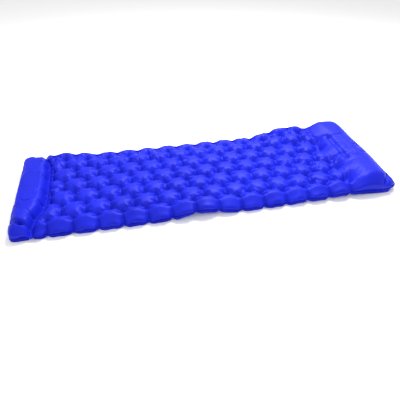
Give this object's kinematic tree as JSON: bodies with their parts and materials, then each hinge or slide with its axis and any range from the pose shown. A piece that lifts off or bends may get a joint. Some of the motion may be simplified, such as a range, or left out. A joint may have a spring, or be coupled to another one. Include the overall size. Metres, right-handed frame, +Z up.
{
  "type": "inflatable sleeping mat",
  "caption": "Single sleeping mat of blue coated cloth with a honeycomb of welded cells, a foot pump at one end and a raised pillow at the other.",
  "frame": {"origin": "on the floor, under the middle of the mat", "axes": "+X along the mat from the foot pump to the pillow, +Y across it, +Z up"},
  "size_m": [1.9, 0.62, 0.108],
  "materials": {
    "coated_cloth": "satin",
    "weld": "satin",
    "foam": "matte",
    "valve_plastic": "satin",
    "cap_plastic": "matte",
    "silicone": "satin"
  },
  "bodies": {
    "mat": {"lower_sheet": "coated_cloth", "upper_sheet_field": "coated_cloth", "upper_sheet_pillow": "coated_cloth", "upper_sheet_pump": "coated_cloth", "edge_weld": "weld", "pump_divider_weld": "weld", "cell_weld_dots": "weld", "pillow_panel_weld": "weld", "pump_foam": "foam", "transfer_valve_sleeve": "valve_plastic", "intake_valve_base": "valve_plastic", "intake_cap_strap": "cap_plastic", "main_valve_base": "valve_plastic", "deflate_plug_strap": "cap_plastic"},
    "pump_tread": {"foot_panel": "coated_cloth"},
    "transfer_flap": {"transfer_valve_flap": "silicone"},
    "intake_cap": {"intake_cap": "cap_plastic"},
    "intake_flap": {"intake_flap": "silicone"},
    "deflate_plug": {"deflate_plug": "cap_plastic"},
    "inflate_cap": {"inflate_cap": "cap_plastic"},
    "inflate_flap": {"inflate_flap": "silicone"}
  },
  "joints": [
    {"name": "pump_press", "type": "slide", "parent": "mat", "child": "pump_tread", "axis": [0, 0, -1], "range_m": [0, 0.045], "stiffness_N_per_m": 2500, "deforming": ["upper_sheet_pump", "pump_foam"]},
    {"name": "transfer_flap_hinge", "type": "hinge", "parent": "mat", "child": "transfer_flap", "pos_m": [-0.7828, 0.018, 0.036], "axis": [0, -1, 0], "range_deg": [0, 35], "stiffness_Nm_per_rad": 0.0005},
    {"name": "intake_cap_hinge", "type": "hinge", "parent": "mat", "child": "intake_cap", "pos_m": [-0.865, 0.3005, 0.0575], "axis": [1, 0, 0], "range_deg": [0, 120]},
    {"name": "intake_flap_hinge", "type": "hinge", "parent": "mat", "child": "intake_flap", "pos_m": [-0.865, 0.2961, 0.0554], "axis": [-1, 0, 0], "range_deg": [0, 35], "stiffness_Nm_per_rad": 0.0005},
    {"name": "deflate_plug_hinge", "type": "hinge", "parent": "mat", "child": "deflate_plug", "pos_m": [0.82, 0.301, 0.0695], "axis": [1, 0, 0], "range_deg": [0, 120]},
    {"name": "inflate_cap_hinge", "type": "hinge", "parent": "deflate_plug", "child": "inflate_cap", "pos_m": [0.82, 0.3038, 0.0445], "axis": [-1, 0, 0], "range_deg": [0, 120]},
    {"name": "inflate_flap_hinge", "type": "hinge", "parent": "deflate_plug", "child": "inflate_flap", "pos_m": [0.82, 0.2972, 0.0609], "axis": [-1, 0, 0], "range_deg": [0, 35], "stiffness_Nm_per_rad": 0.0005}
  ]
}
